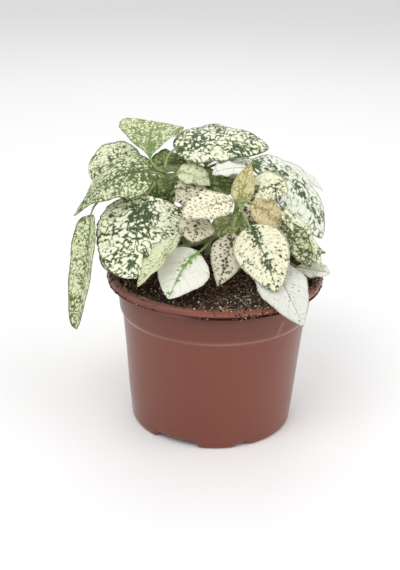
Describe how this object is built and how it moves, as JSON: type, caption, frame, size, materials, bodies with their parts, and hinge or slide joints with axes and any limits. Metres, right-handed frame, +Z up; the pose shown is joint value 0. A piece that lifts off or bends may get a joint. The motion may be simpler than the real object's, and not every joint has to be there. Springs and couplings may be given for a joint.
{
  "type": "potted polka dot plant",
  "caption": "Young white-splashed polka dot plant with opposite ovate leaves, in a reddish-brown thermoformed nursery pot filled with potting soil.",
  "frame": {"origin": "middle of the pot's floor, on the surface the pot stands on", "axes": "+Z up along the pot's axis, -Y towards the front of the plant, +X to its right"},
  "size_m": [0.1432, 0.1453, 0.1645],
  "materials": {
    "pot_plastic": "thin thermoformed polypropylene, satin, reddish brown",
    "soil": "peat and bark crumbs with perlite, matt",
    "foliage": "soft thin leaf, cream white with dark green flecks, satin"
  },
  "bodies": {
    "root": {"pot": "pot_plastic", "potting_soil": "soil", "leafy_stem_1": "foliage", "leafy_stem_2": "foliage", "leafy_stem_3": "foliage", "leafy_stem_4": "foliage", "leafy_stem_5": "foliage"}
  },
  "joints": []
}
